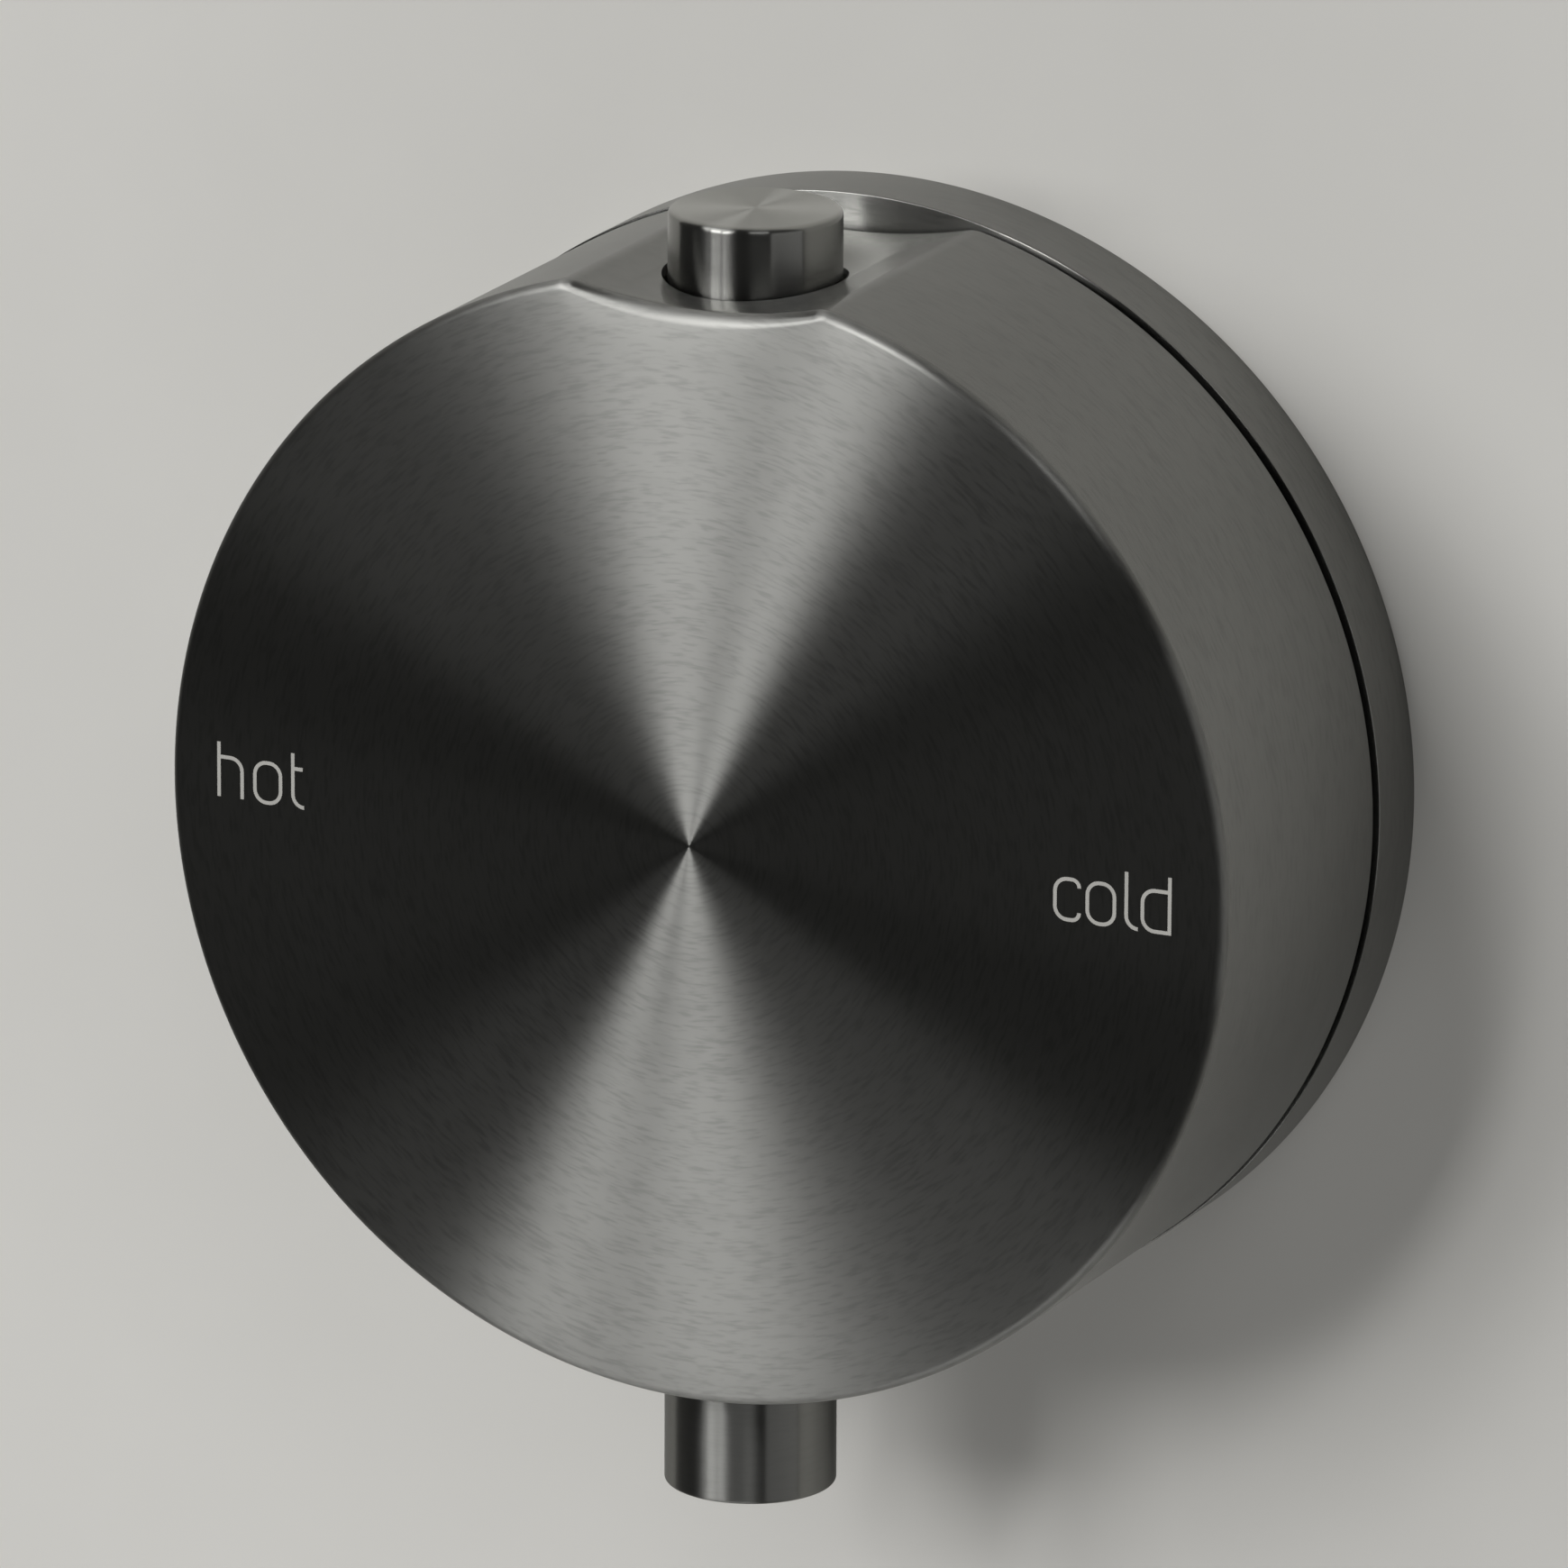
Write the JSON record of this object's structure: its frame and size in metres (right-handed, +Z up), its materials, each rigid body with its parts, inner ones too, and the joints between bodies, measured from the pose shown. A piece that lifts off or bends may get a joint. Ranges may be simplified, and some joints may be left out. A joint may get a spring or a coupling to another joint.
{
  "type": "wall-mounted basin mixer",
  "caption": "Round stainless wall mixer: a drum dial turns on a wall flange, a push button in its scooped top opens the water, and a short outlet hangs below.",
  "frame": {"origin": "centre of the wall face, on the axis that the dial turns on", "axes": "+Y runs into the wall, the front faces -Y, +Z is up, +X is right as seen from the front"},
  "size_m": [0.1204, 0.088, 0.1369],
  "materials": {
    "spun_steel": "circular brushed",
    "turned_steel": "fine turned",
    "plain_steel": "plain",
    "raw_brass": "machined",
    "dark_plastic": "matt",
    "pale_plastic": "matt",
    "ceramic": "lapped",
    "black_rubber": "matt",
    "spring_steel": "bright"
  },
  "bodies": {
    "wall": {"wall_plate": "plain_steel", "wall_flange": "turned_steel", "flange_gasket": "black_rubber", "flange_screws": "plain_steel", "glide_ring": "dark_plastic", "valve_body": "raw_brass", "body_screws": "plain_steel", "waterway_plug": "raw_brass", "hot_inlet_nipple": "raw_brass", "cold_inlet_nipple": "raw_brass", "inlet_o_rings": "black_rubber", "inlet_filters": "plain_steel", "cartridge_base": "pale_plastic", "cartridge_seals": "black_rubber", "cartridge_housing": "pale_plastic", "cartridge_o_ring": "black_rubber", "cartridge_nut": "raw_brass", "fixed_disc": "ceramic", "temperature_stop": "dark_plastic", "valve_spring": "spring_steel", "outlet_arm": "raw_brass", "arm_screws": "plain_steel", "arm_o_ring": "black_rubber", "outlet_tube": "turned_steel", "outlet_o_ring": "black_rubber", "slot_shield": "plain_steel", "aerator_housing": "dark_plastic", "aerator_screen": "pale_plastic", "aerator_gasket": "black_rubber"},
    "dial": {"dial_shell": "spun_steel", "dial_hub": "raw_brass", "hub_screws": "plain_steel", "hub_grub_screw": "plain_steel", "spindle": "raw_brass", "spindle_o_rings": "black_rubber", "disc_carrier": "dark_plastic", "moving_disc": "ceramic", "button_bush": "raw_brass", "bush_circlip": "spring_steel", "button_seal": "black_rubber", "button_spring": "spring_steel"},
    "button": {"button_cap": "spun_steel", "button_stem": "plain_steel", "stem_clip": "spring_steel"},
    "pin": {"push_pin": "plain_steel", "pin_o_ring": "black_rubber"},
    "valve": {"poppet": "raw_brass", "poppet_seal": "black_rubber"}
  },
  "joints": [
    {"name": "dial_turn", "type": "hinge", "parent": "wall", "child": "dial", "pos_m": [0, 0, 0], "axis": [0, -1, 0], "range_deg": [-30, 30]},
    {"name": "button_press", "type": "slide", "parent": "dial", "child": "button", "axis": [0, 0, -1], "range_m": [0, 0.004], "stiffness_N_per_m": 1200, "springref_m": -0.003, "deforming": ["button_spring"]},
    {"name": "pin_push", "type": "slide", "parent": "dial", "child": "pin", "axis": [0, 1, 0], "range_m": [0, 0.004]},
    {"name": "valve_lift", "type": "slide", "parent": "wall", "child": "valve", "axis": [0, 1, 0], "range_m": [0, 0.004], "stiffness_N_per_m": 400, "springref_m": -0.003, "deforming": ["valve_spring"]}
  ],
  "couplings": [
    {"joint": "pin_push", "follows": "button_press", "ratio": 1},
    {"joint": "valve_lift", "follows": "button_press", "ratio": 1}
  ]
}
